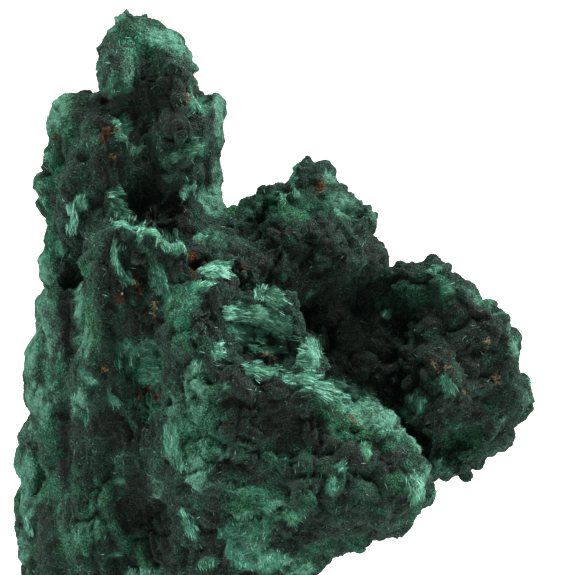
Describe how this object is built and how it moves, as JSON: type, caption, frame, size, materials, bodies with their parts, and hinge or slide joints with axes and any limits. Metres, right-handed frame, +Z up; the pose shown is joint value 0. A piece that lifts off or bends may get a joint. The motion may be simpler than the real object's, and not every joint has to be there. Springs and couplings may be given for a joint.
{
  "type": "malachite specimen",
  "caption": "Upright mass of fibrous green malachite: a tower, a broken front shell, and stalactite-like lobes leaning out to the right, on a flat broken foot.",
  "frame": {"origin": "bottom centre of the bounding box, in the plane of the flat broken foot", "axes": "+Z up from the foot to the tip of the tower, +X towards the far lobe, -Y towards the near finger"},
  "size_m": [0.0528, 0.0398, 0.0663],
  "materials": {
    "malachite": "velvety crust of short fibres with silky broken edges",
    "fibres": "silky light green fibres",
    "crumbs": "matt rusty and tan grains"
  },
  "bodies": {
    "root": {"malachite": "malachite"}
  },
  "joints": []
}
